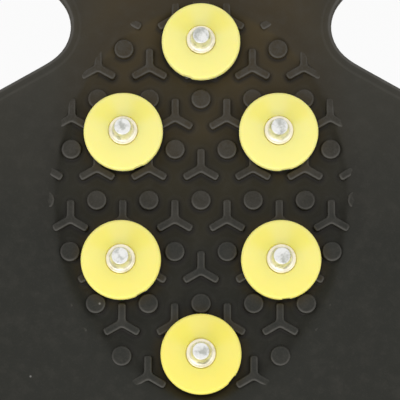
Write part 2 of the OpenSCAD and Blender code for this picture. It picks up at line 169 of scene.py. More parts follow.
def number(description, value, **kind):
    """A number that a user would change, still without its name."""
    return partial(FloatProperty, description=description, default=value, precision=5, **kind)


def length(description, millimetres):
    """A size that a user would change."""
    return number(description, millimetres * MM, unit="LENGTH", subtype="DISTANCE")


def angle(description, degrees):
    """An angle that a user would change."""
    return number(description, math.radians(degrees), unit="ROTATION", subtype="ANGLE")


def colour(description, *tone):
    """A colour that a user would change."""
    return partial(FloatVectorProperty, description=description, default=tone, min=0, max=1, subtype="COLOR")


def named(group):
    """Makes the properties of a group, each with a name from its key."""
    for key, make in group.__annotations__.items():
        group.__annotations__[key] = make(name=key.replace("_", " ").capitalize())
    return group


@named
class CleatHarness(bpy.types.PropertyGroup):
    """Sizes of the rubber harness, before and after it is folded."""

    toe_radius: length("Radius of the bend line round the toe", 50)
    heel_radius: length("Radius of the bend line round the heel", 37)
    toe_lead: length("Toe arc's centre ahead of the forefoot studs", 12)
    heel_lead: length("Heel arc's centre ahead of the heel studs", 1)
    bend_radius: length("Radius of the bend from sole to wall", 12)
    bead_radius: length("Radius of the bead along the rim", 2.5)
    bead_flat: length("Depth of the flat under the bead", 0.5)
    bead_rise: length("Upper end of the bead above its middle", 2.4)
    bead_swell: length("Swell of the wall at the bead's upper end", 0.04)
    rim_top: length("Height where the plain wall ends", 5.2)
    neck_half: length("Half of the neck's least width", 26.6)
    toe_lobe: length("Radius of the toe opening's inner end", 8.5)
    toe_lobe_lead: length("Toe lobe's centre ahead of the studs", 35.5)
    neck_flare: angle("Slope of the toe opening's front edge", 46)
    wing_slope: angle("Slope of the wing's front edge", 30)
    strap_lean: number("Widening of the toe strap per length of wall", 0.15)
    wing_front_lean: number("Retreat of the wing's front edge", 0.8)
    bridge_half: length("Half of the bridge's least width", 15.5)
    waist_lobe: length("Radius of the waist opening's inner end", 10)
    wing_rear_slope: angle("Slope of the wing's rear edge", 22)
    heel_wing_slope: angle("Slope of the heel wing's front edge", 28)
    wing_rear_lean: number("Advance of the wing's rear edge", 0.35)
    heel_front_lean: number("Retreat of the heel wing's front edge", 0.25)
    heel_open_angle: angle("Turn from the toe to the heel opening", 138)
    heel_lobe: length("Radius of the heel opening's inner end", 9)
    heel_open_lean: number("Widening of the heel opening", 0.06)
    lip: length("Rise of the lip round the openings", 0.22)
    lip_width: length("Width of that lip", 2.4)
    corner: length("Reach of the rounding of the openings' corners", 1.6)
    tab_width: length("Width of the pull tab", 22)
    tab_corner: length("Radius of the pull tab's corners", 5)
    tab_low: length("Height of the pull tab's lower face", 6.5)
    tab_thick: length("Thickness of the pull tab", 3)
    tab_round: length("Rounding of the pull tab's edges", 1.1)
    flex_front: length("Start of the bending waist, ahead of its axis", 24)
    flex_rear: length("End of the bending waist, behind its axis", 12.5)


@named
class CleatTread(bpy.types.PropertyGroup):
    """Sizes of the recessed tread and its lugs."""

    depth: length("Depth of the tread's floor", 1.3)
    slope_across: length("Width of the slope at the recess's sides", 2.4)
    slope_along: length("Width of the slope at the recess's ends", 4)
    slope_rear: length("Widening of the slope to the rear corners", 4.5)
    fore_across: length("Half of the forefoot recess across", 30.8)
    fore_along: length("Half of the forefoot recess along", 42)
    fore_back: length("Middle of the forefoot recess behind the studs", 0.6)
    heel_across: length("Half of the heel recess across", 27)
    heel_along: length("Half of the heel recess along", 28)
    pitch_across: length("Spacing of the lugs across", 10.5)
    pitch_along: length("Spacing of the rows of lugs", 10.5)
    lead: length("Middle row of lugs ahead of the studs", 5.9)
    arm: length("Length of a lug's arm from its centre", 4.1)
    arm_width: length("Width of a lug's arm at its foot", 1.8)
    arm_clear: length("Least gap from a three-armed lug to an opening", 0.3)
    tip_corner: length("Radius of the corners at an arm's tip", 0.65)
    crotch: length("Radius between two arms of a lug", 0.7)
    dot: length("Diameter of a round lug at its foot", 4.2)
    dot_back: length("Distance of a round lug behind its neighbour", 6.6)
    dot_clear: length("Least gap from a round lug to an opening", 0.8)
    lug_drop: length("Lug tops below the ground face", 0.08)
    draft: length("How far a lug narrows to its top", 0.12)
    round_over: length("Rounding of a lug's top edges", 0.3)
    # The foot is a low skirt round each lug that carries painted contact shadow
    foot: length("Width of the low foot round a lug", 1.05)
    # Width of the lug top's border that carries wear and painted highlight
    worn_edge: length("Width of the rubbed border of a lug's top", 0.18)


@named
class CleatGrips(bpy.types.PropertyGroup):
    """Sizes of the studs and their discs."""

    disc: length("Diameter of a yellow disc", 16)
    crown: length("Drop of the disc's top to its edge", 0.25)
    edge: length("Rounding of the disc's top edge", 0.6)
    foot_edge: length("Rounding of the disc's lower edge", 0.25)
    groove: length("Width of the groove round a stud", 0.15)
    groove_depth: length("Depth of that groove", 0.2)
    gate_width: length("Width of the gate mark on a disc's edge", 1.8)
    gate_depth: length("Depth of the gate mark", 0.2)
    head: length("Diameter of the stud's head", 10)
    head_thick: length("Thickness of the stud's head", 1.1)
    neck: length("Diameter of the stud's neck in the rubber", 5)
    flange: length("Diameter of the flange inside the disc", 8.4)
    flange_thick: length("Thickness of that flange", 0.7)
    collar: length("Diameter of the stud's collar", 5.8)
    collar_high: length("Height of the collar above the disc", 0.5)
    tip_base: length("Diameter at the foot of the tip", 4.3)
    tip_end: length("Diameter of the tip's flat end", 3.4)
    fillet: length("Hollow fillet between collar and tip", 0.5)
    bevel: length("Rounding of the stud's edges", 0.2)
    clear: length("Gap round the stud in the rubber", 0.06)
    mould_gap: length("Gap between a disc and its stud", 0.03)
    seat: length("Radius of the rubber seat under a disc", 6.5)
    seat_slope: length("Width of the slope round that seat", 0.8)


@named
class CleatFinish(bpy.types.PropertyGroup):
    """Colours of the materials and the light of the stage."""

    rubber: colour("Black rubber of the harness", 0.0105, 0.0108, 0.0068)
    rubber_pale: colour("Greyer rubber, on the wings", 0.0245, 0.0225, 0.0155)
    rubber_warm: colour("Browner rubber", 0.0378, 0.0257, 0.0078)
    # Lighter toe end of the recess's painted shade
    rubber_toe: colour("Rubber at the toe end of the recess", 0.060, 0.042, 0.0145)
    # Painted shade: the recess's darker tone, and its browner tint towards the front
    rubber_deep: colour("Rubber down in the recess", 0.0092, 0.0088, 0.0045)
    rubber_deep_warm: colour("Browner rubber in the recess", 0.0160, 0.0118, 0.0008)
    # Painted shade: a brown ring round each disc
    grime: colour("Brown grime round the discs", 0.030, 0.0185, 0.0006)
    # Painted shade: the dark tone for the recess's border and slope, the ring round each disc and the lugs'
    # feet
    crease: colour("Dark creases in the rubber", 0.004, 0.0022, 0.0)
    bloom: colour("Pale bloom on worn tops", 0.046, 0.042, 0.034)
    # Rubbed edges of the lugs and openings, also a painted highlight
    worn: colour("Rubbed edges of the lugs", 0.088, 0.083, 0.073)
    dust: colour("Specks of dust", 0.30, 0.29, 0.27)
    yellow: colour("Nylon of the discs", 0.99, 0.88, 0.29)
    # Deeper yellow towards the heel
    yellow_deep: colour("Nylon where it is denser", 0.975, 0.82, 0.155)
    # Painted shadow: saturated lobes beside each stud, where its shadow falls
    yellow_flow: colour("Flow marks beside each stud", 1.0, 0.84, 0.02)
    steel: colour("Bright steel of the studs", 0.84, 0.84, 0.82)
    steel_dull: colour("Scuffed and tarnished steel", 0.40, 0.41, 0.37)
    # Painted reflection of the yellow disc on each collar
    steel_warm: colour("Collars, tinted by their discs", 1.0, 0.87, 0.52)
    sky: number("Strength of the even light from all round", 0.86)
    key: number("Power of the low strip on the left", 1.6, unit="POWER")
    fill: number("Power of the low strip on the right", 0.5, unit="POWER")
    camera_distance: length("Distance of the camera from the tread", 400)
    camera_rise: angle("Height of the camera above the horizon", 78.8)
    camera_lens: number("Focal length in millimetres", 178.9)


def smooth(share):
    """A soft step from 0 to 1."""
    t = np.clip(share, 0, 1)
    return t * t * (3 - 2 * t)


def ways(turns):
    """Unit vectors at angles from +X."""
    return np.stack([np.cos(turns), np.sin(turns)], -1)


def arc(centre, radius, start, stop, steps):
    """Points along a circular arc, ends included."""
    return np.array(centre) + radius * ways(np.linspace(start, stop, steps + 1))


def circle(centre, radius, steps):
    """Points round a circle."""
    return arc(centre, radius, 0, FULL_TURN, steps)[:-1]


def at_height(floor, z):
    """Flat points lifted to a height."""
    return np.column_stack([floor, np.full(len(floor), z)])


def evenly(outline, spacing):
    """A closed outline in even steps of about that spacing."""
    closed = np.vstack([outline, outline[:1]])
    run = np.concatenate([[0], np.cumsum(np.linalg.norm(np.diff(closed, axis=0), axis=1))])
    count = int(round(run[-1] / spacing))
    marks = np.arange(count) * run[-1] / count
    return np.stack([np.interp(marks, run, closed[:, k]) for k in (0, 1)], 1)


def softened(outline, reach, spacing):
    """A closed outline whose corners are rounded over that reach."""
    fine = evenly(outline, reach / 6)
    wave = np.fft.fft(fine[:, 0] + 1j * fine[:, 1])
    step = np.linalg.norm(fine[1] - fine[0])
    wave *= np.exp(-2 * (math.pi * np.fft.fftfreq(len(fine), step) * reach) ** 2)
    back = np.fft.ifft(wave)
    return evenly(np.stack([back.real, back.imag], 1), spacing)


def outward_of(outline):
    """The way out of a closed outline at each of its points."""
    along = np.roll(outline, -1, 0) - np.roll(outline, 1, 0)
    area = np.cross(outline, np.roll(outline, -1, 0)).sum()
    normal = np.stack([along[:, 1], -along[:, 0]], 1) * np.sign(area)
    return normal / np.linalg.norm(normal, axis=1)[:, None]


def within(points, outline):
    """Which points lie inside a closed outline."""
    inside = np.zeros(len(points), bool)
    for a, b in zip(outline, np.roll(outline, -1, 0)):
        crosses = (a[1] > points[:, 1]) != (b[1] > points[:, 1])
        rise = np.where(b[1] == a[1], 1, b[1] - a[1])
        inside ^= crosses & (points[:, 0] < a[0] + (points[:, 1] - a[1]) * (b[0] - a[0]) / rise)
    return inside


class FlatSheet:
    """The rubber sheet laid flat: its openings, its tread and the way it folds into the cleat."""

    def __init__(self, scene):
        self.harness = h = scene.cleat_harness
        self.tread = scene.cleat_tread
        self.grips = scene.cleat_grips
        self.toe = np.array([0, FOREFOOT_MID.y + h.toe_lead])
        self.heel = np.array([0, HEEL_MID.y + h.heel_lead])
        gap = self.toe[1] - self.heel[1]
        self.tilt = math.asin((h.toe_radius - h.heel_radius) / gap)
        self.rearwards = -ways(RIGHT_ANGLE - self.tilt)
        self.sweep = RIGHT_ANGLE + self.tilt
        self.toe_arc = h.toe_radius * self.sweep
        self.side_run = gap * math.cos(self.tilt)
        self.half_girth = self.toe_arc + self.side_run + h.heel_radius * (math.pi - self.sweep)
        self.bend_run = h.bend_radius * RIGHT_ANGLE
        self.wall_run = MID_Z - h.bend_radius - RIM_HIGH.z + self.bend_run

    def place(self, girth, depth):
        """Flat places at a girth round the bend line and a depth past it."""
        h = self.harness
        left = girth > self.half_girth
        g = np.where(left, 2 * self.half_girth - girth, girth)
        past_toe = np.clip(g - self.toe_arc, 0, self.side_run)
        past_side = np.maximum(g - self.toe_arc - self.side_run, 0)
        out = ways(RIGHT_ANGLE - np.minimum(g, self.toe_arc) / h.toe_radius - past_side / h.heel_radius)
        on_toe = self.toe + h.toe_radius * out + past_toe[:, None] * self.rearwards
        on_heel = self.heel + h.heel_radius * out
        flat = np.where((past_side > 0)[:, None], on_heel, on_toe) + np.reshape(depth, (-1, 1)) * out
        return np.where(left[:, None], flat * (-1, 1), flat)

    def past_bend(self, flat):
        """How far flat places lie past the bend line, and the way outwards there."""
        h = self.harness
        side = np.where(flat[:, :1] < 0, (-1.0, 1.0), 1.0)
        run = (flat * side - self.toe) @ self.rearwards
        by_heel = run > self.side_run
        on_toe = self.toe + np.maximum(run, 0)[:, None] * self.rearwards
        offset = flat * side - np.where(by_heel[:, None], self.heel, on_toe)
        far = np.linalg.norm(offset, axis=1)
        depth = far - np.where(by_heel, h.heel_radius, h.toe_radius)
        return depth, offset / np.maximum(far, TINY)[:, None] * side

    def leaves_sole(self, start, slope):
        """The girth where a straight edge from start crosses the bend line, ahead of the heel's arc."""
        near, far = 0.0, 2 * self.harness.toe_radius
        for _ in range(HALVINGS):
            half = (near + far) / 2
            inside = self.past_bend((start + half * ways(slope))[None])[0][0] < 0
            near, far = (half, far) if inside else (near, half)
        offset = start + far * ways(slope) - self.toe
        run = offset @ self.rearwards
        return self.toe_arc + run if run > 0 else math.atan2(*offset) * self.harness.toe_radius

    def opening(self, lobe, first, last):
        """An opening's outline: its lobe in the sole, then two wall edges given by girth and lean."""
        depths = np.linspace(0, self.wall_run, WALL_POINTS)
        up = first[0] + first[1] * depths
        down = last[0] + last[1] * depths
        rim = np.linspace(down[-1], up[-1], RIM_POINTS)[1:-1]
        return np.vstack(
            [lobe, self.place(down, depths), self.place(rim, self.wall_run), self.place(up, depths)[::-1]]
        )

    def sole_opening(self, middle, radius, slopes, leans):
        """An opening with a lobe in the sole, whose front and rear edges have a slope and a lean."""
        lobe = arc(middle, radius, RIGHT_ANGLE + slopes[0], 3 * RIGHT_ANGLE - slopes[1], LOBE_STEPS)
        front = self.leaves_sole(lobe[0], slopes[0])
        rear = self.leaves_sole(lobe[-1], -slopes[1])
        return self.opening(lobe, (front, leans[0]), (rear, leans[1]))

    def heel_opening(self):
        """The opening beside the heel, whose lobe straddles the bend line."""
        h = self.harness
        girth = self.toe_arc + self.side_run + h.heel_radius * (h.heel_open_angle - self.sweep)
        half_turn = 2 * math.asin(h.heel_lobe / 2 / h.heel_radius)
        middle = self.place(np.array([girth]), 0)[0]
        inwards = 3 * RIGHT_ANGLE - h.heel_open_angle
        swing = RIGHT_ANGLE - half_turn / 2
        lobe = arc(middle, h.heel_lobe, inwards + swing, inwards - swing, LOBE_STEPS)
        half = half_turn * h.heel_radius
        return self.opening(lobe, (girth + half, h.heel_open_lean), (girth - half, -h.heel_open_lean))

    def openings(self):
        """The outlines of all six openings, corners rounded."""
        h = self.harness
        toe = (h.neck_half + h.toe_lobe, FOREFOOT_MID.y + h.toe_lobe_lead)
        waist = (h.bridge_half + h.waist_lobe, FLEX.y)
        toe_slopes, toe_leans = (h.neck_flare, h.wing_slope), (h.strap_lean, h.wing_front_lean)
        waist_slopes = (h.wing_rear_slope, h.heel_wing_slope)
        waist_leans = (-h.wing_rear_lean, h.heel_front_lean)
        right = [
            self.sole_opening(toe, h.toe_lobe, toe_slopes, toe_leans),
            self.sole_opening(waist, h.waist_lobe, waist_slopes, waist_leans),
            self.heel_opening(),
        ]
        right = [softened(outline, h.corner, OPENING_STEP) for outline in right]
        return right + [(outline * (-1, 1))[::-1] for outline in right]

    def fold(self, flat, offset):
        """Where folding takes flat places that stand off mid thickness."""
        radius = self.harness.bend_radius
        depth, out = self.past_bend(flat)
        depth = np.maximum(depth, 0)
        turn = np.minimum(depth / radius, RIGHT_ANGLE)
        floor = flat + ((radius + offset) * np.sin(turn) - depth)[:, None] * out
        z = MID_Z - radius + (radius + offset) * np.cos(turn) - np.maximum(depth - self.bend_run, 0)
        return np.column_stack([floor, z])

    def recesses(self):
        """Each region's recess: the middle of its studs, its half size and how far it lies behind them."""
        t = self.tread
        return {
            "forefoot": (FOREFOOT_MID, (t.fore_across, t.fore_along), t.fore_back),
            "heel": (HEEL_MID, (t.heel_across, t.heel_along), 0),
        }

    def ground_face(self, flat):
        """How far the ground face stands off mid thickness, with its recesses and stud seats."""
        t, g = self.tread, self.grips
        height = np.full(len(flat), HALF_SHEET)
        for middle, half, back in self.recesses().values():
            offset = flat - np.array(middle.xy) + (0, back)
            level = np.maximum(np.linalg.norm(offset / half, axis=1), TINY)
            outwards = offset / np.square(half)
            steepness = np.maximum(np.linalg.norm(outwards, axis=1), TINY)
            turned = np.square(outwards / steepness[:, None])
            rear = np.where(offset[:, 1] < 0, t.slope_rear, 0)
            slope = turned @ np.array([t.slope_across, t.slope_along]) + rear * np.sqrt(turned.prod(1))
            height -= t.depth * smooth((1 - level) * level / steepness / slope)
        for spot in GRIPS.values():
            away = np.linalg.norm(flat - np.array(spot.xy), axis=1)
            height += (HALF_SHEET - height) * smooth((g.seat + g.seat_slope - away) / g.seat_slope)
        return height


def put(name, data):
    """A new object in the scene."""
    made = bpy.data.objects.new(name, data)
    bpy.context.scene.collection.objects.link(made)
    return made


def guide(name, points, faces=()):
    """A plain mesh object of points and faces."""
    mesh = bpy.data.meshes.new(name)
    mesh.from_pydata(points, [], faces)
    return put(name, mesh)


def finished(piece, sharp):
    """Turns a piece's faces outwards and shades it smooth, but for sharp edges."""
    mesh = piece.data
    shape = bmesh.new()
    shape.from_mesh(mesh)
    bmesh.ops.recalc_face_normals(shape, faces=shape.faces)
    shape.to_mesh(mesh)
    shape.free()
    mesh.shade_smooth()
    mesh.set_sharp_from_angle(angle=math.radians(sharp))
    return piece


class Skin:
    """Vertices and faces of one closed mesh, gathered ring by ring."""

    def __init__(self):
        self.points = []
        self.faces = []
        self.wear = []

    def add(self, points, wear=0.0):
        """Adds points, with how much they are all or each rubbed or painted lit or shaded, and gives their
        numbers.
        """
        first = len(self.points)
        self.points.extend(map(tuple, points))
        self.wear.extend(np.broadcast_to(wear, len(points)))
        return np.arange(first, first + len(points))

    def strip(self, ring_a, ring_b):
        """Joins two closed rings of as many points with quads."""
        quads = np.stack([ring_a, np.roll(ring_a, -1), np.roll(ring_b, -1), ring_b], 1)
        self.faces.extend(quads.tolist())

    def close(self, top, under, pairs, last):
        """Joins the borders of two faces, through pairs of rings, at one last ring."""
        for next_top, next_under in pairs:
            self.strip(top, next_top)
            self.strip(next_under, under)
            top, under = next_top, next_under
        self.strip(top, last)
        self.strip(last, under)

    def made(self, name):
        """The finished piece, with its wear and painted light as an attribute."""
        piece = guide(name, self.points, self.faces)
        wear = piece.data.attributes.new("wear", "FLOAT", "POINT")
        wear.data.foreach_set("value", np.array(self.wear, np.float32))
        return finished(piece, RUBBER_SHARP)


def hex_points(spacing, low, high):
    """Staggered points over a rectangle."""
    rows = np.arange(low[1], high[1], spacing * math.sqrt(3) / 2)
    columns = np.arange(low[0], high[0], spacing)
    return np.array([(x + spacing / 2 * (i % 2), y) for i, y in enumerate(rows) for x in columns])


def numbered(loops):
    """The numbers of each loop's points when all loops are stacked."""
    stops = np.cumsum([len(loop) for loop in loops])
    return np.split(np.arange(stops[-1]), stops[:-1])


def triangulated(loops, fills):
    """Triangles through closed loops and loose points: the points, the triangles and each loop's numbers."""
    numbers = numbered(loops)
    links = [pair for ring in numbers for pair in zip(ring.tolist(), np.roll(ring, -1).tolist())]
    spots = [Vector(p / MM) for p in np.vstack(loops + fills)]
    found = delaunay_2d_cdt(spots, links, [], 0, TINY)
    number_of = {old: new for new, olds in enumerate(found[3]) for old in olds}
    rings = [np.array([number_of[old] for old in ring]) for ring in numbers]
    triangles = np.array([face for face in found[2] if len(face) == 3])
    return np.array([tuple(v) for v in found[0]]) * MM, triangles, rings


def harness_skin(sheet):
    """The folded rubber sheet as one closed skin."""
    h = sheet.harness
    rim_depth = sheet.bend_run + MID_Z - h.bend_radius - h.rim_top
    hole_r = sheet.grips.head / 2 + sheet.grips.clear
    edges = [(outline, outward_of(outline)) for outline in sheet.openings()]
    inner_rings = [outline + way * h.lip_width for outline, way in edges]
    rim_ring = sheet.place(np.arange(0, 2 * sheet.half_girth, RIM_STEP), rim_depth)
    loops = inner_rings + [rim_ring] + [circle(spot.xy, hole_r, HOLE_STEPS) for spot in GRIPS.values()]
    border = np.vstack(loops)

    def in_rubber(points):
        keep = sheet.past_bend(points)[0] < rim_depth
        for ring in inner_rings:
            keep &= ~within(points, ring)
        for spot in GRIPS.values():
            keep &= np.linalg.norm(points - np.array(spot.xy), axis=1) > hole_r
        return keep

    fills = []
    for spacing, is_sole in ((SOLE_STEP, True), (WALL_STEP, False)):
        points = hex_points(spacing, rim_ring.min(0), rim_ring.max(0))
        points = points[(sheet.past_bend(points)[0] < SOLE_MARGIN) == is_sole]
        points = points[in_rubber(points)]
        near = np.array([np.linalg.norm(border - p, axis=1).min() for p in points])
        fills.append(points[near > BORDER_GAP * spacing])
    flat, triangles, rings = triangulated(loops, fills)
    triangles = triangles[in_rubber(flat[triangles].mean(1))]

    skin = Skin()
    top = skin.add(sheet.fold(flat, sheet.ground_face(flat)))
    under = skin.add(sheet.fold(flat, -HALF_SHEET))
    skin.faces.extend(top[triangles].tolist() + under[triangles[:, ::-1]].tolist())
    ends = iter([(top[ring], under[ring]) for ring in rings])
    for outline, way in edges:
        close_opening(skin, sheet, outline, way, *next(ends))
    close_rim(skin, sheet, rim_ring, *next(ends))
    for spot in GRIPS.values():
        close_hole(skin, sheet.grips, spot, *next(ends))
    return skin


def close_opening(skin, sheet, outline, way, top, under):
    """Rounds the rubber's edge round an opening, with a low lip on the ground side."""
    h = sheet.harness
    pairs = []
    for share, high, lips, low, wear in EDGE_ROUND:
        flat = outline + way * h.lip_width * share
        above = skin.add(sheet.fold(flat, high * HALF_SHEET + lips * h.lip), wear)
        pairs.append((above, skin.add(sheet.fold(flat, -low * HALF_SHEET))))
    skin.close(top, under, pairs, skin.add(sheet.fold(outline, 0)))


def close_rim(skin, sheet, ring, top, under):
    """Ends the wall in a round bead that stands on a narrow flat."""
    h = sheet.harness
    bead_z = h.bead_radius - h.bead_flat
    depth, out = sheet.past_bend(ring)
    foot = ring - depth[:, None] * out

    def ring_at(offset, z):
        return skin.add(at_height(foot + (h.bend_radius + offset) * out, z))

    ends = math.radians(BEAD_START), -math.asin(bead_z / h.bead_radius)
    bead = arc((0, bead_z), h.bead_radius, *ends, BEAD_STEPS)
    profile = [(HALF_SHEET + h.bead_swell, bead_z + h.bead_rise), *bead]
    pairs = [(ring_at(offset, z), ring_at(-offset, z)) for offset, z in profile]
    skin.close(top, under, pairs, ring_at(0, 0))


def close_hole(skin, g, spot, top, under):
    """Ends the sheet in a stepped hole for a stud's neck and head."""
    neck_r = g.neck / 2 + g.clear
    pocket_z = STUD_LOW.z + g.head_thick + 2 * g.clear
    steps = ((neck_r, SOLE_HIGH.z), (neck_r, pocket_z), (g.head / 2 + g.clear, pocket_z))
    rings = [skin.add(at_height(circle(spot.xy, radius, HOLE_STEPS), z)) for radius, z in steps]
    for a, b in zip([top, *rings], [*rings, under]):
        skin.strip(a, b)


def raised(name, outline_at, levels):
    """A solid with flat ends whose outline follows an inset: each level is an inset, a height and a value of
    wear and painted light.
    """
    skin = Skin()
    rings = []
    for inset, z, wear in levels:
        outline = outline_at(inset)
        # Edges that face the heel get stronger painted highlights and shadows, as if lit from there
        to_heel = -outward_of(outline)[:, 1]
        rings.append(skin.add(at_height(outline, z), wear * (ASIDE_SHARE + HEEL_LIGHTING * to_heel)))
    for a, b in zip(rings, rings[1:]):
        skin.strip(a, b)
    skin.faces += [rings[0][::-1].tolist(), rings[-1].tolist()]
    return skin.made(name)


def arm_outline(tread, inset):
    """A three-armed lug with rounded tips and crotches, one arm to the toe, drawn in by an inset."""
    half = tread.arm_width / 2 - inset
    reach = tread.arm - inset
    corner = max(tread.tip_corner - inset, LEAST_TIP)
    crotch = max(tread.crotch + inset, LEAST_CROTCH)
    away = (half + crotch) / math.sin(math.pi / 3)
    points = []
    for turn in np.radians((90, 210, 330)):
        for side, start in ((-1, turn - RIGHT_ANGLE), (1, turn)):
            centre = (reach - corner) * ways(turn) + side * (half - corner) * ways(turn + RIGHT_ANGLE)
            points.append(arc(centre, corner, start, start + RIGHT_ANGLE, TIP_STEPS))
        hollow = away * ways(turn + math.pi / 3)
        points.append(arc(hollow, -crotch, turn + RIGHT_ANGLE, turn + math.pi / 6, CROTCH_STEPS))
    return np.vstack(points)


def operation(kind):
    """Two methods that add a Math node: the plain form and the reflected one."""
    def plain(self, other):
        return self.board.math(kind, self, other)

    def reflected(self, other):
        return self.board.math(kind, other, self)

    return plain, reflected


class Wire:
    """A node's output, whose arithmetic adds Math nodes, and whose index gives the node's other outputs."""

    __add__, __radd__ = operation("ADD")
    __sub__, __rsub__ = operation("SUBTRACT")
    __mul__, __rmul__ = operation("MULTIPLY")
    __truediv__, __rtruediv__ = operation("DIVIDE")
    __gt__, __lt__ = operation("GREATER_THAN")

    def __init__(self, board, node, output=0):
        self.board = board
        self.node = node
        self.output = output

    def __getitem__(self, output):
        return Wire(self.board, self.node, output)

    def __abs__(self):
        return self.board.math("ABSOLUTE", self)


class Board:
    """A node tree that is wired up from Python."""

    def __init__(self, tree):
        self.tree = tree
        tree.nodes.clear()

    def node(self, kind, inputs=None, **settings):
        """Adds a node, makes its settings, then sets or links its sockets."""
        node = self.tree.nodes.new(kind)
        for key, value in settings.items():
            setattr(node, key, value)
        for key, value in (inputs or {}).items():
            if isinstance(value, Wire):
                self.link(value, node.inputs[key])
            else:
                node.inputs[key].default_value = value
        return Wire(self, node)

    def link(self, wire, socket):
        """Links a wire to a socket."""
        self.tree.links.new(wire.node.outputs[wire.output], socket)

    def math(self, kind, *values):
        """One Math node."""
        return self.node("ShaderNodeMath", dict(enumerate(values)), operation=kind)

    def vector(self, kind, *values):
        """One Vector Math node."""
        return self.node("ShaderNodeVectorMath", dict(enumerate(values)), operation=kind)

    def split(self, vector):
        """A vector's parts."""
        return self.node("ShaderNodeSeparateXYZ", {0: vector})

    def joined(self, x, y):
        """A flat vector."""
        return self.node("ShaderNodeCombineXYZ", {0: x, 1: y})

    def step(self, value, low, high):
        """A soft step of a value from 0 at low to 1 at high."""
        inputs = {"Value": value, "From Min": low, "From Max": high}
        return self.node("ShaderNodeMapRange", inputs, interpolation_type="SMOOTHSTEP")

    def layered(self, base, *layers):
        """A colour under layers, each a share and a colour."""
        for share, tone in layers:
            under, over = (c if isinstance(c, Wire) else (*c, 1) for c in (base, tone))
            base = self.node("ShaderNodeMix", {0: share, 6: under, 7: over}, data_type="RGBA")[2]
        return base

    def noise(self, place, scale, detail=3.0, roughness=0.5):
        """A noise value."""
        inputs = {"Vector": place, "Scale": scale, "Detail": detail, "Roughness": roughness}
        return self.node("ShaderNodeTexNoise", inputs)


def new_material(name):
    """An empty material, its board, its place on the object and its own UV map."""
    material = bpy.data.materials.new(name)
    material.use_nodes = True
    board = Board(material.node_tree)
    spot = board.node("ShaderNodeTexCoord")
    return material, board, spot["Object"], spot["UV"]


def finish_material(board, constants, base, rough, height, strength, distance):
    """Ends a material in one shader: fixed sockets, a colour, a roughness and a bumped normal."""
    bump = board.node("ShaderNodeBump", {"Strength": strength, "Distance": distance, "Height": height})
    inputs = {**constants, "Base Color": base, "Roughness": rough, "Normal": bump}
    shader = board.node("ShaderNodeBsdfPrincipled", inputs)
    board.node("ShaderNodeOutputMaterial", {"Surface": shader})


def nearest_disc(board, along):
    """How far a place lies from the axis of the nearest disc."""
    flat = board.joined(along["X"], along["Y"])
    first, *others = [board.vector("DISTANCE", flat, (*spot.xy, 0))["Value"] for spot in GRIPS.values()]
    for gap in others:
        first = board.math("MINIMUM", first, gap)
    return first


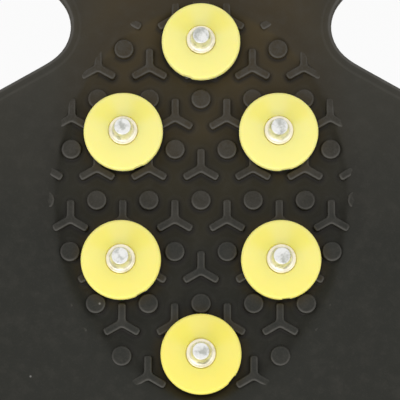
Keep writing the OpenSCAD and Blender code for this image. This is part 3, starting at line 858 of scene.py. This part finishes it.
def rubber_material(scene, name, worn_tops, gloss):
    """Satin black rubber: mottled, browner to the toe, with bloom on worn tops and a few specks of dust,
    painted shade in the recess, round its border, round the discs and at the lugs' feet, and rubbed edges
    with painted highlights.
    """
    finish, tread = scene.cleat_finish, scene.cleat_tread
    material, board, place, _ = new_material(name)
    along = board.split(place)
    cloud = board.noise(place, 60, 4)
    mottle = board.noise(place, 420, 5, 0.6)
    grain = board.noise(place, 2600, 2)
    drift = along["Y"] - FOREFOOT_MID.y + (cloud - 0.5) * (30 * MM)

    def ahead(low, high):
        """A clouded step along the foot, in millimetres ahead of the forefoot's studs."""
        return board.step(drift, low * MM, high * MM)

    def below(low, high):
        """A step in depth, in millimetres below the ground face."""
        return board.step(along["Z"], SOLE_HIGH.z - low * MM, SOLE_HIGH.z - high * MM)

    to_front, to_toe, to_end = ahead(-24, 4), ahead(-12, 26), ahead(8, 32)
    to_middle = board.step(along["X"] * along["X"], (32 * MM) ** 2, (10 * MM) ** 2)
    on_sole = board.step(along["Z"], SOLE_LOW.z + 0.4 * MM, SOLE_LOW.z + 1.2 * MM)
    recess = below(0.3, 1.0) * on_sole
    # Painted shade on the recess's slope, towards the front and not at the toe
    slope = below(1.28, 0.9) * recess
    # Painted shade just outside the recess's border, towards the front
    across = along["X"] / tread.fore_across
    lengthwise = (along["Y"] - (FOREFOOT_MID.y - tread.fore_back)) / tread.fore_along
    border = board.step(across * across + lengthwise * lengthwise, 1.3, 1.0) * (on_sole - recess)
    speckled = board.step(mottle, 0.4, 0.8) * 0.25 + board.step(grain, 0.5, 0.8) * 0.15
    tops = below(0.5, 0.1) * (board.step(mottle, 0.40, 0.60) * 0.5 + board.step(grain, 0.44, 0.58) * 0.5)
    from_disc = nearest_disc(board, along)
    # Painted shade: a brown ring round each disc, out to 10.6 mm from its axis
    halo = board.step(from_disc, 10.6 * MM, 8.2 * MM) * on_sole
    # Painted contact shadow just outside each disc's edge
    round_disc = board.step(from_disc, 8.7 * MM, 8.1 * MM) * on_sole
    # Per point: rubbed edges with painted highlight above zero, painted shadow below zero
    wear = board.node("ShaderNodeAttribute", attribute_name="wear")["Fac"]
    cells = board.node("ShaderNodeTexVoronoi", {"Vector": place, "Scale": 150.0}, feature="F1")
    chosen = board.node("ShaderNodeSeparateColor", {0: cells["Color"]}) > 0.8
    speck = board.step(cells["Distance"], 0.055, 0.03) * chosen
    # Painted shade in the recess: a darker, browner tone, lighter at the toe end, mixed in by depth
    recess_shade = board.layered(
        finish.rubber_deep,
        (to_front * to_middle, finish.rubber_deep_warm),
        (to_end * to_middle, finish.rubber_toe),
    )
    base = board.layered(
        finish.rubber,
        (to_toe, finish.rubber_pale),
        (to_toe * to_middle, finish.rubber_warm),
        # Painted shade in the recess
        (recess * (0.75 - to_toe * 0.25), recess_shade),
        # Painted shade round the recess's border
        (border * to_front * 0.25, finish.crease),
        # Painted shade on the recess's slope
        (slope * to_front * (0.3 - to_toe * 0.3), finish.crease),
        (speckled, finish.bloom),
        (tops * (0.24 + to_toe * 0.34) * worn_tops, finish.bloom),
        # Painted shade round each disc
        (halo * 0.55, finish.grime),
        # Painted contact shadow at each disc's edge
        (round_disc * 0.8, finish.crease),
        # Rubbed edges, partly a painted highlight
        (wear * (0.3 + mottle * 0.7), finish.worn),
        # Painted contact shadow at the lugs' feet, where the value is below zero
        (wear * (to_toe * 0.25 - 1.1), finish.crease),
        (speck * 0.6, finish.dust),
    )
    rough = 0.54 - gloss * 0.4 + cloud * 0.1 + mottle * 0.12 + speck * 0.3 + recess * 0.15
    height = mottle * 0.5 + grain * 0.5 + speck * 0.6
    finish_material(board, {"Specular IOR Level": gloss}, base, rough, height, 0.35, 0.12 * MM)
    return material


def yellow_material(finish):
    """Pale yellow nylon, deeper yellow to the heel, with painted shadow lobes beside each stud and a faint
    grain.
    """
    material, board, place, turned = new_material("yellow_nylon")
    cloud = board.noise(place, 90, 3)
    mottle = board.noise(place, 700, 4)
    drift = board.split(place)["Y"] - FOREFOOT_MID.y + (cloud - 0.5) * (24 * MM)
    round_disc = board.split(turned)
    off_mark = abs(abs(round_disc["X"] - 0.25) - 0.118)
    # Painted shadow: two saturated lobes round each stud, at fixed turns in the disc's own UV
    stud_shadow_lobes = board.step(off_mark, 0.10, 0.02) * board.step(round_disc["Y"], 6.6 * MM, 8.4 * MM)
    base = board.layered(
        finish.yellow,
        # Deeper yellow towards the heel
        (board.step(drift, 15 * MM, -50 * MM), finish.yellow_deep),
        (stud_shadow_lobes * (0.2 + cloud * 0.2), finish.yellow_flow),
    )
    constants = {
        "Specular IOR Level": 0.4,
        "Subsurface Weight": 0.4,
        "Subsurface Radius": (1.0, 0.8, 0.2),
        "Subsurface Scale": 1.5 * MM,
    }
    finish_material(board, constants, base, 0.36 + mottle * 0.14, mottle, 0.12, 0.1 * MM)
    return material


def steel_material(finish, grips):
    """Bright turned steel, with fine rings round the axis, small scuffs, and collars warmed by a painted
    reflection of their discs.
    """
    material, board, place, turned = new_material("turned_steel")
    stretched = board.node("ShaderNodeMapping", {"Vector": turned, "Scale": (1.5, 9000, 1)})
    rings = board.noise(stretched, 1.0, 2)
    scuff = board.noise(place, 1500, 4, 0.7)
    tarnish = board.step(board.noise(place, 520, 3, 0.6), 0.46, 0.7)
    height = board.split(place)["Z"]
    collar_z = DISC_HIGH.z + grips.collar_high
    # Painted reflection: the collar above the disc takes a warm tint from it
    on_collar = board.step(height, collar_z + 0.25 * MM, collar_z + 0.05 * MM) * (height > DISC_LOW.z)
    base = board.layered(
        finish.steel,
        (tarnish * 0.8 + board.step(scuff, 0.5, 0.75) * 0.2, finish.steel_dull),
        (on_collar * 0.5, finish.steel_warm),
    )
    rough = 0.34 + rings * 0.1 + scuff * 0.12
    finish_material(board, {"Metallic": 1.0}, base, rough, rings * 0.6 + scuff * 0.4, 0.2, 0.05 * MM)
    return material


def lathe(name, profile, spot, segments, closed, notch=None):
    """A body turned from radius and height pairs about an upright axis, with its own UV map."""
    points, rings = [], []
    for radius, z in profile:
        floor = circle((0, 0), radius, segments if radius > TINY else 1)
        if notch:
            floor = notch(floor)
        rings.append(range(len(points), len(points) + len(floor)))
        points.extend(at_height(floor + np.array(spot.xy), z).tolist())
    run = np.concatenate([[0], np.cumsum(np.linalg.norm(np.diff(np.array(profile), axis=0), axis=1))])
    spans = list(zip(range(len(rings)), range(1, len(rings))))
    if closed:
        spans.append((len(rings) - 1, 0))
    faces, uvs = [], []
    for a, b in spans:
        for k in range(segments):
            corners = [(a, k), (a, k + 1), (b, k + 1), (b, k)]
            if len(rings[a]) == 1:
                corners = [(a, 0), (b, k + 1), (b, k)]
            elif len(rings[b]) == 1:
                corners = [(a, k), (a, k + 1), (b, 0)]
            faces.append([rings[ring][step % len(rings[ring])] for ring, step in corners])
            uvs.extend((step / segments, run[ring]) for ring, step in corners)
    piece = guide(name, points, faces)
    layer = piece.data.uv_layers.new(name="turned")
    layer.data.foreach_set("uv", np.array(uvs, np.float32).ravel())
    return finished(piece, TURNED_SHARP)


def rounded(corner, radius, start, stop, steps=4):
    """Profile points round a corner's centre, by degrees."""
    return [tuple(p) for p in arc(corner, radius, math.radians(start), math.radians(stop), steps)]


def disc_profile(g):
    """Half section of a yellow disc, round its stud's neck, flange and collar."""
    low, high = DISC_LOW.z, DISC_HIGH.z
    outer = g.disc / 2
    flange_low = (low + high - g.flange_thick) / 2 - g.mould_gap
    flange_high = flange_low + g.flange_thick + 2 * g.mould_gap
    inner = g.collar / 2 + g.mould_gap
    shoulder = g.flange / 2 + g.mould_gap
    neck = g.neck / 2 + g.mould_gap
    flat = outer - g.edge
    crown = [(flat + (inner - flat) * s, high - g.crown * (1 - s) ** 2) for s in (0.25, 0.5, 0.75)]
    return (
        [(neck, low)]
        + rounded((outer - g.foot_edge, low + g.foot_edge), g.foot_edge, 270, 360)
        + rounded((flat, high - g.crown - g.edge), g.edge, 0, 90, 6)
        + crown
        + [
            (inner + 1.2 * g.groove, high - 0.1 * g.groove_depth),
            (inner + g.groove, high - 0.4 * g.groove_depth),
            (inner + 0.8 * g.groove, high - g.groove_depth),
            (inner, high - g.groove_depth),
            (inner, flange_high),
            (shoulder, flange_high),
            (shoulder, flange_low),
            (neck, flange_low),
        ]
    )


def stud_profile(g):
    """Half section of a steel stud: head, neck, flange, collar and tip."""
    low, high = STUD_LOW.z, STUD_HIGH.z
    head_top = low + g.head_thick
    flange_low = (DISC_LOW.z + DISC_HIGH.z - g.flange_thick) / 2
    flange_high = flange_low + g.flange_thick
    collar_top = DISC_HIGH.z + g.collar_high
    collar = g.collar / 2
    return (
        [(0, low)]
        + rounded((g.head / 2 - g.bevel, low + g.bevel), g.bevel, 270, 360)
        + [
            (g.head / 2, head_top),
            (g.neck / 2, head_top),
            (g.neck / 2, flange_low),
            (g.flange / 2, flange_low),
            (g.flange / 2, flange_high),
            (collar, flange_high),
        ]
        + rounded((collar - g.bevel, collar_top - g.bevel), g.bevel, 0, 90)
        + rounded((g.tip_base / 2 + g.fillet, collar_top + g.fillet), g.fillet, 270, 180, 6)
        + rounded((g.tip_end / 2 - g.bevel, high - g.bevel), g.bevel, 10, 90)
        + [(0, high)]
    )


def gate_notch(g, turn):
    """A cut for the gate mark, at an angle round the disc."""
    limit = g.disc / 2 - g.gate_depth

    def cut(floor):
        forward = floor @ ways(turn)
        marked = (forward > limit) & (np.abs(floor @ ways(turn + RIGHT_ANGLE)) < g.gate_width / 2)
        return floor - np.where(marked, forward - limit, 0)[:, None] * ways(turn)

    return cut


def turn_pieces(kind, finish, make):
    """One turned piece on each grip, in place of its node."""
    for count, (body, spot) in enumerate(GRIPS.items()):
        piece = make(body + "_" + kind, spot, count)
        piece.data.materials.append(finish)
        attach(piece, body)
        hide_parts(body.replace("grip", kind))


def tread_tree():
    """Geometry nodes that set three-armed and round lugs in staggered rows over an oval."""
    tree = bpy.data.node_groups.new("tread_lugs", "GeometryNodeTree")
    tree.interface.new_socket("Geometry", in_out="OUTPUT", socket_type="NodeSocketGeometry")
    for kind, names in TREAD_SOCKETS.items():
        for name in names:
            tree.interface.new_socket(name, in_out="INPUT", socket_type="NodeSocket" + kind)
    board = Board(tree)
    given = board.node("NodeGroupInput")

    def shape_of(name):
        made = board.node("GeometryNodeObjectInfo", {"Object": given[name]}, transform_space="ORIGINAL")
        return made["Geometry"]

    def distance_to(name, element):
        return board.node("GeometryNodeProximity", {0: shape_of(name)}, target_element=element)["Distance"]

    def moved(points, offset):
        return board.node("GeometryNodeSetPosition", {"Geometry": points, "Offset": offset})

    sizes = {
        "Size X": given["Pitch Across"] * (given["Columns"] - 1),
        "Size Y": given["Pitch Along"] * (given["Rows"] - 1),
        "Vertices X": given["Columns"],
        "Vertices Y": given["Rows"],
    }
    grid = board.node("GeometryNodeMeshGrid", sizes)
    place = board.node("GeometryNodeInputPosition")
    row = board.math("ROUND", board.split(place)["Y"] / given["Pitch Along"])
    stagger = board.math("PINGPONG", row, 1.0) * 0.5 * given["Pitch Across"]
    start = board.vector("ADD", board.joined(stagger, given["Lead"]), given["Middle"])
    arms = moved(grid, start)
    dots = moved(arms, board.joined(0.0, 0.0 - given["Round Lug Back"]))
    off = board.vector("SUBTRACT", place, given["Oval Middle"])
    way = board.vector("NORMALIZE", off)
    to_stud = distance_to("Studs", "POINTS")
    to_opening = distance_to("Openings", "FACES")
    join = board.node("GeometryNodeJoinGeometry")
    for points, kind in ((arms, "Arm"), (dots, "Round")):
        inwards = board.vector("MULTIPLY", way, given[kind + " Reach"])
        inner = board.split(board.vector("SUBTRACT", off, inwards))
        across = inner["X"] / given["Half Across"]
        along = inner["Y"] / given["Half Along"]
        in_oval = across * across + along * along < 1.0
        clear = (to_stud > given["Hidden Under Disc"]) * (to_opening > given[kind + " Clear"])
        placed = board.node(
            "GeometryNodeInstanceOnPoints",
            {"Points": points, "Selection": in_oval * clear, "Instance": shape_of(kind + " Lug")},
        )
        board.link(placed, join.node.inputs[0])
    real = board.node("GeometryNodeRealizeInstances", {"Geometry": join})
    painted = board.node("GeometryNodeSetMaterial", {"Geometry": real, "Material": given["Finish"]})
    board.node("NodeGroupOutput", {"Geometry": painted})
    return tree


def lug_field(name, tree, values):
    """One region's lugs as a plain mesh piece, from the tree's inputs by name."""
    host = guide(name + "_host", [(0, 0, 0)])
    modifier = host.modifiers.new("lugs", "NODES")
    modifier.node_group = tree
    for item in tree.interface.items_tree:
        if item.item_type == "SOCKET" and item.in_out == "INPUT":
            modifier[item.identifier] = values[item.name]
    graph = bpy.context.evaluated_depsgraph_get()
    mesh = bpy.data.meshes.new_from_object(host.evaluated_get(graph), depsgraph=graph)
    host.modifiers.remove(modifier)
    bpy.data.objects.remove(host)
    if not mesh.polygons:
        raise RuntimeError(name + " came out empty")
    mesh.name = name
    mesh.set_sharp_from_angle(angle=math.radians(RUBBER_SHARP))
    return put(name, mesh)


class CLEAT_OT_harness(bpy.types.Operator):
    """Make the rubber harness"""

    bl_idname = "cleat.harness"
    bl_label = "Rubber Harness"

    def execute(self, context):
        sheet = FlatSheet(context.scene)
        piece = harness_skin(sheet).made("rubber_harness")
        piece.data.materials.append(rubber_material(context.scene, "harness_rubber", worn_tops=0, gloss=0.3))
        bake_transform(piece)
        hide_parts(*HARNESS_NODES)
        return {"FINISHED"}


class CLEAT_OT_pull_tab(bpy.types.Operator):
    """Make the pull tab at the heel"""

    bl_idname = "cleat.pull_tab"
    bl_label = "Pull Tab"

    def execute(self, context):
        h = context.scene.cleat_harness
        root_r = h.heel_radius + h.bend_radius
        swing = math.asin(h.tab_width / 2 / root_r)
        corner_x = h.tab_width / 2 - h.tab_corner
        corner_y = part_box("heel_rim")[0].y + h.tab_corner
        to_heel = 3 * RIGHT_ANGLE
        outline = np.vstack([
            arc((-corner_x, corner_y), h.tab_corner, math.pi, to_heel, TAB_STEPS),
            arc((corner_x, corner_y), h.tab_corner, to_heel, FULL_TURN, TAB_STEPS),
            arc((0, HEEL_MID.y + h.heel_lead), root_r, to_heel + swing, to_heel - swing, ROOT_STEPS),
        ])
        way = outward_of(outline)
        edge = h.tab_round * (1 - ways(np.radians((90, 67.5, 45, 22.5, 0))))
        levels = [(inset, h.tab_low + rise, 0) for inset, rise in edge[:, ::-1][::-1]]
        levels += [(inset, h.tab_low + h.tab_thick - rise, 0) for inset, rise in edge[:, ::-1]]
        piece = raised("pull_tab", lambda inset: outline - way * inset, levels)
        piece.data.materials.append(bpy.data.materials["harness_rubber"])
        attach(piece, "heel")
        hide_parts("heel_rim")
        return {"FINISHED"}


class CLEAT_OT_lugs(bpy.types.Operator):
    """Set the lugs of the tread"""

    bl_idname = "cleat.lugs"
    bl_label = "Tread Lugs"

    def execute(self, context):
        scene = context.scene
        t = scene.cleat_tread
        sheet = FlatSheet(scene)
        floor_z = SOLE_HIGH.z - t.depth
        rise = t.depth - t.lug_drop
        levels = [(-t.foot * share, z * MM, wear) for share, z, wear in LUG_SHADOW_SKIRT]
        for degrees, wear in LUG_EDGE:
            drawn_in, up = t.round_over * (1 - ways(math.radians(degrees)))
            levels.append((t.draft + drawn_in, rise - up, wear))
        levels.append((t.draft + drawn_in + t.worn_edge, rise, 0))
        outlines = sheet.openings()
        faces = [ring.tolist() for ring in numbered(outlines)]
        shared = {
            "Arm Lug": raised("arm_lug_shape", lambda inset: arm_outline(t, inset), levels),
            "Round Lug": raised(
                "round_lug_shape", lambda inset: circle((0, 0), t.dot / 2 - inset, DOT_STEPS), levels
            ),
            "Openings": guide("opening_faces", at_height(np.vstack(outlines), floor_z), faces),
            "Finish": rubber_material(scene, "lug_rubber", worn_tops=1, gloss=0.34),
            "Pitch Across": t.pitch_across,
            "Pitch Along": t.pitch_along,
            "Lead": t.lead,
            "Round Lug Back": t.dot_back,
            "Arm Reach": ARM_INSIDE * t.arm,
            "Round Reach": DOT_INSIDE * t.dot,
            "Arm Clear": t.arm + t.arm_clear,
            "Round Clear": t.dot / 2 + t.dot_clear,
            "Hidden Under Disc": scene.cleat_grips.disc / 2 - t.arm,
        }
        tree = tread_tree()
        for body, (middle, half, back) in sheet.recesses().items():
            studs = [(*spot.xy, floor_z) for grip, spot in GRIPS.items() if grip.startswith(body)]
            cloud = guide("stud_spots", studs)
            values = {
                "Studs": cloud,
                "Columns": 2 * math.ceil(half[0] / t.pitch_across) + SPARE_ROWS,
                "Rows": 2 * math.ceil(half[1] / t.pitch_along) + SPARE_ROWS,
                "Half Across": half[0],
                "Half Along": half[1],
                "Middle": (middle.x, middle.y, floor_z),
                "Oval Middle": (middle.x, middle.y - back, floor_z),
            }
            piece = lug_field(body + "_lugs", tree, {**shared, **values})
            bpy.data.objects.remove(cloud)
            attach(piece, body)
        for helper in ("Arm Lug", "Round Lug", "Openings"):
            bpy.data.objects.remove(shared[helper])
        return {"FINISHED"}


class CLEAT_OT_discs(bpy.types.Operator):
    """Turn the yellow discs"""

    bl_idname = "cleat.discs"
    bl_label = "Yellow Discs"

    def execute(self, context):
        g = context.scene.cleat_grips

        def make(name, spot, count):
            notch = gate_notch(g, math.radians(GATE_TURNS[count % len(GATE_TURNS)]))
            return lathe(name, disc_profile(g), spot, DISC_STEPS, closed=True, notch=notch)

        turn_pieces("disc", yellow_material(context.scene.cleat_finish), make)
        return {"FINISHED"}


class CLEAT_OT_studs(bpy.types.Operator):
    """Turn the steel studs"""

    bl_idname = "cleat.studs"
    bl_label = "Steel Studs"

    def execute(self, context):
        g = context.scene.cleat_grips

        def make(name, spot, count):
            return lathe(name, stud_profile(g), spot, STUD_STEPS, closed=False)

        turn_pieces("stud", steel_material(context.scene.cleat_finish, g), make)
        return {"FINISHED"}


def seen_rays(board):
    """1 for rays that show the background itself: to the camera, in metal and through glass."""
    rays = board.node("ShaderNodeLightPath")
    seen = board.math("MAXIMUM", rays["Is Camera Ray"], rays["Is Glossy Ray"])
    return board.math("MAXIMUM", seen, rays["Is Transmission Ray"])


def floor_material():
    """A pale floor that looks white and still keeps a soft shadow, its glow to the camera painted brighter
    over the object's footprint, which lifts the shadow there.
    """
    material, board, place, _ = new_material("pale_floor")
    tone = board.layered((0.86, 0.86, 0.86), (board.noise(place, 3, 2), (0.9, 0.9, 0.9)))
    along = board.split(place)
    # Painted light: the floor glows brighter to the camera over the object's footprint
    across = along["X"] * along["X"] / CAD_BOX[1].x ** 2
    lengthwise = along["Y"] * along["Y"] / CAD_BOX[1].y ** 2
    under = board.step(across * across + lengthwise * lengthwise, 1.6, 1.0)
    cover = board.node("ShaderNodeBsdfDiffuse", {"Color": tone})
    glow = board.node("ShaderNodeEmission", {"Strength": 1.0})
    share = seen_rays(board) * (0.8 + under * 0.15)
    mixed = board.node("ShaderNodeMixShader", {0: share, 1: cover, 2: glow})
    board.node("ShaderNodeOutputMaterial", {"Surface": mixed})
    return material


def facing(thing, way):
    """Turns a lamp or camera to look along a way."""
    thing.rotation_euler = way.to_track_quat("-Z", "Y").to_euler()


def area_light(name, size, power, aim, off):
    """A soft light of a width and a height that faces a point from an offset."""
    light = bpy.data.lights.new(name, "AREA")
    light.shape = "RECTANGLE"
    light.size, light.size_y = size
    light.energy = power
    lamp = put(name, light)
    lamp.location = aim + off
    facing(lamp, -off)


class CLEAT_OT_stage(bpy.types.Operator):
    """Set the floor, the lights and the camera"""

    bl_idname = "cleat.stage"
    bl_label = "Stage"

    def execute(self, context):
        scene = context.scene
        finish = scene.cleat_finish
        scene.view_settings.view_transform = "Standard"
        corners = [(x * FLOOR_REACH, y * FLOOR_REACH, 0) for x, y in ((-1, -1), (1, -1), (1, 1), (-1, 1))]
        floor = guide("floor", corners, [(0, 1, 2, 3)])
        floor.data.materials.append(floor_material())
        scene.world = bpy.data.worlds.new("studio")
        scene.world.use_nodes = True
        board = Board(scene.world.node_tree)
        strength = finish.sky + seen_rays(board) * (1 - finish.sky)
        light = board.node("ShaderNodeBackground", {"Color": (1, 1, 1, 1), "Strength": strength})
        board.node("ShaderNodeOutputWorld", {"Surface": light})
        aim = Vector((*FOREFOOT_MID.xy, SOLE_HIGH.z)) + AIM_OFF
        area_light("key", KEY_SIZE, finish.key, aim, KEY_OFF)
        area_light("fill", FILL_SIZE, finish.fill, aim, FILL_OFF)
        camera = put("camera", bpy.data.cameras.new("camera"))
        back = Vector((0, -math.cos(finish.camera_rise), math.sin(finish.camera_rise)))
        camera.location = aim + back * finish.camera_distance
        facing(camera, -back)
        camera.data.lens = finish.camera_lens
        camera.data.clip_start = CLIP_START
        scene.camera = camera
        return {"FINISHED"}


class CLEAT_PT_panel(bpy.types.Panel):
    """The cleat's sizes and the steps that make it"""

    bl_label = "Ice Cleat"
    bl_idname = "CLEAT_PT_panel"
    bl_space_type = "VIEW_3D"
    bl_region_type = "UI"
    bl_category = "Ice Cleat"

    def draw(self, context):
        for operator in OPERATORS:
            self.layout.operator(operator.bl_idname)
        for group in GROUPS:
            settings = getattr(context.scene, group)
            box = self.layout.box()
            for name in settings.__annotations__:
                box.prop(settings, name)


GROUPS = {
    "cleat_harness": CleatHarness,
    "cleat_tread": CleatTread,
    "cleat_grips": CleatGrips,
    "cleat_finish": CleatFinish,
}
OPERATORS = (
    CLEAT_OT_harness, CLEAT_OT_pull_tab, CLEAT_OT_lugs, CLEAT_OT_discs, CLEAT_OT_studs, CLEAT_OT_stage,
)
CLASSES = (*GROUPS.values(), *OPERATORS, CLEAT_PT_panel)


def register():
    """Adds the classes, and one set of sizes for each group to the scene."""
    for cls in CLASSES:
        bpy.utils.register_class(cls)
    for name, cls in GROUPS.items():
        setattr(bpy.types.Scene, name, PointerProperty(type=cls))


def unregister():
    """Takes the sizes and the classes away again."""
    for name in GROUPS:
        delattr(bpy.types.Scene, name)
    for cls in reversed(CLASSES):
        bpy.utils.unregister_class(cls)


def main():
    """Registers the add-on, makes every piece and notes the sizes."""
    register()
    bpy.ops.cleat.harness()
    bpy.ops.cleat.pull_tab()
    bpy.ops.cleat.lugs()
    bpy.ops.cleat.discs()
    bpy.ops.cleat.studs()
    bpy.ops.cleat.stage()


if __name__ == "__main__":
    main()
